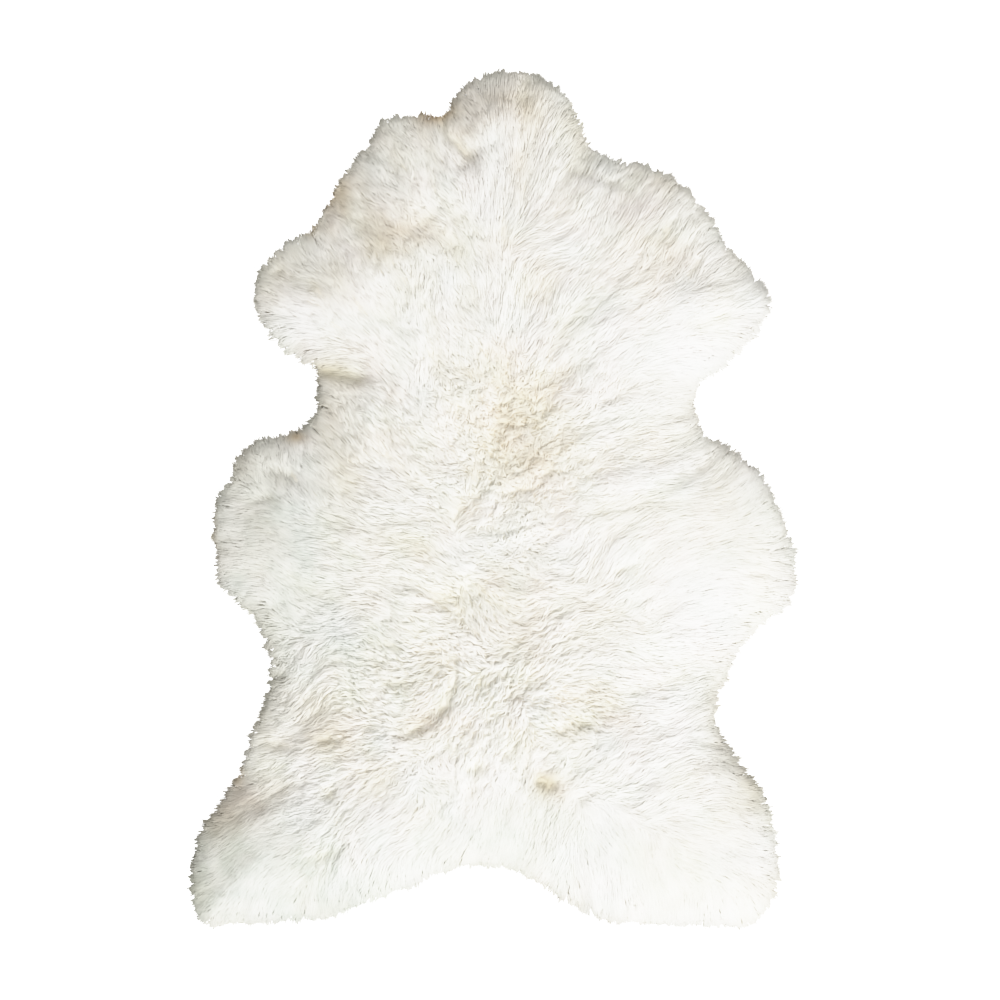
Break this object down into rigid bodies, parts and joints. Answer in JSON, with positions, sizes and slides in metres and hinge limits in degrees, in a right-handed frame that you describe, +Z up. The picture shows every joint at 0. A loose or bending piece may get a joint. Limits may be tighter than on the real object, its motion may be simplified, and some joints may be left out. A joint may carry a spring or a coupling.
{
  "type": "sheepskin rug",
  "caption": "Flat rug made of a long-wool sheepskin, the tanned hide with its wool on, in its natural outline with the neck at one end and the hind legs at the other.",
  "frame": {"origin": "middle of the rug's outline, on the surface that it lies on", "axes": "+Z up from the floor, +Y along the backbone towards the neck, +X to the right with the neck pointing away"},
  "size_m": [0.7051, 1.0001, 0.0504],
  "materials": {
    "wool": "matte",
    "hide": "matte"
  },
  "bodies": {
    "root": {"pelt": "wool"}
  },
  "joints": []
}
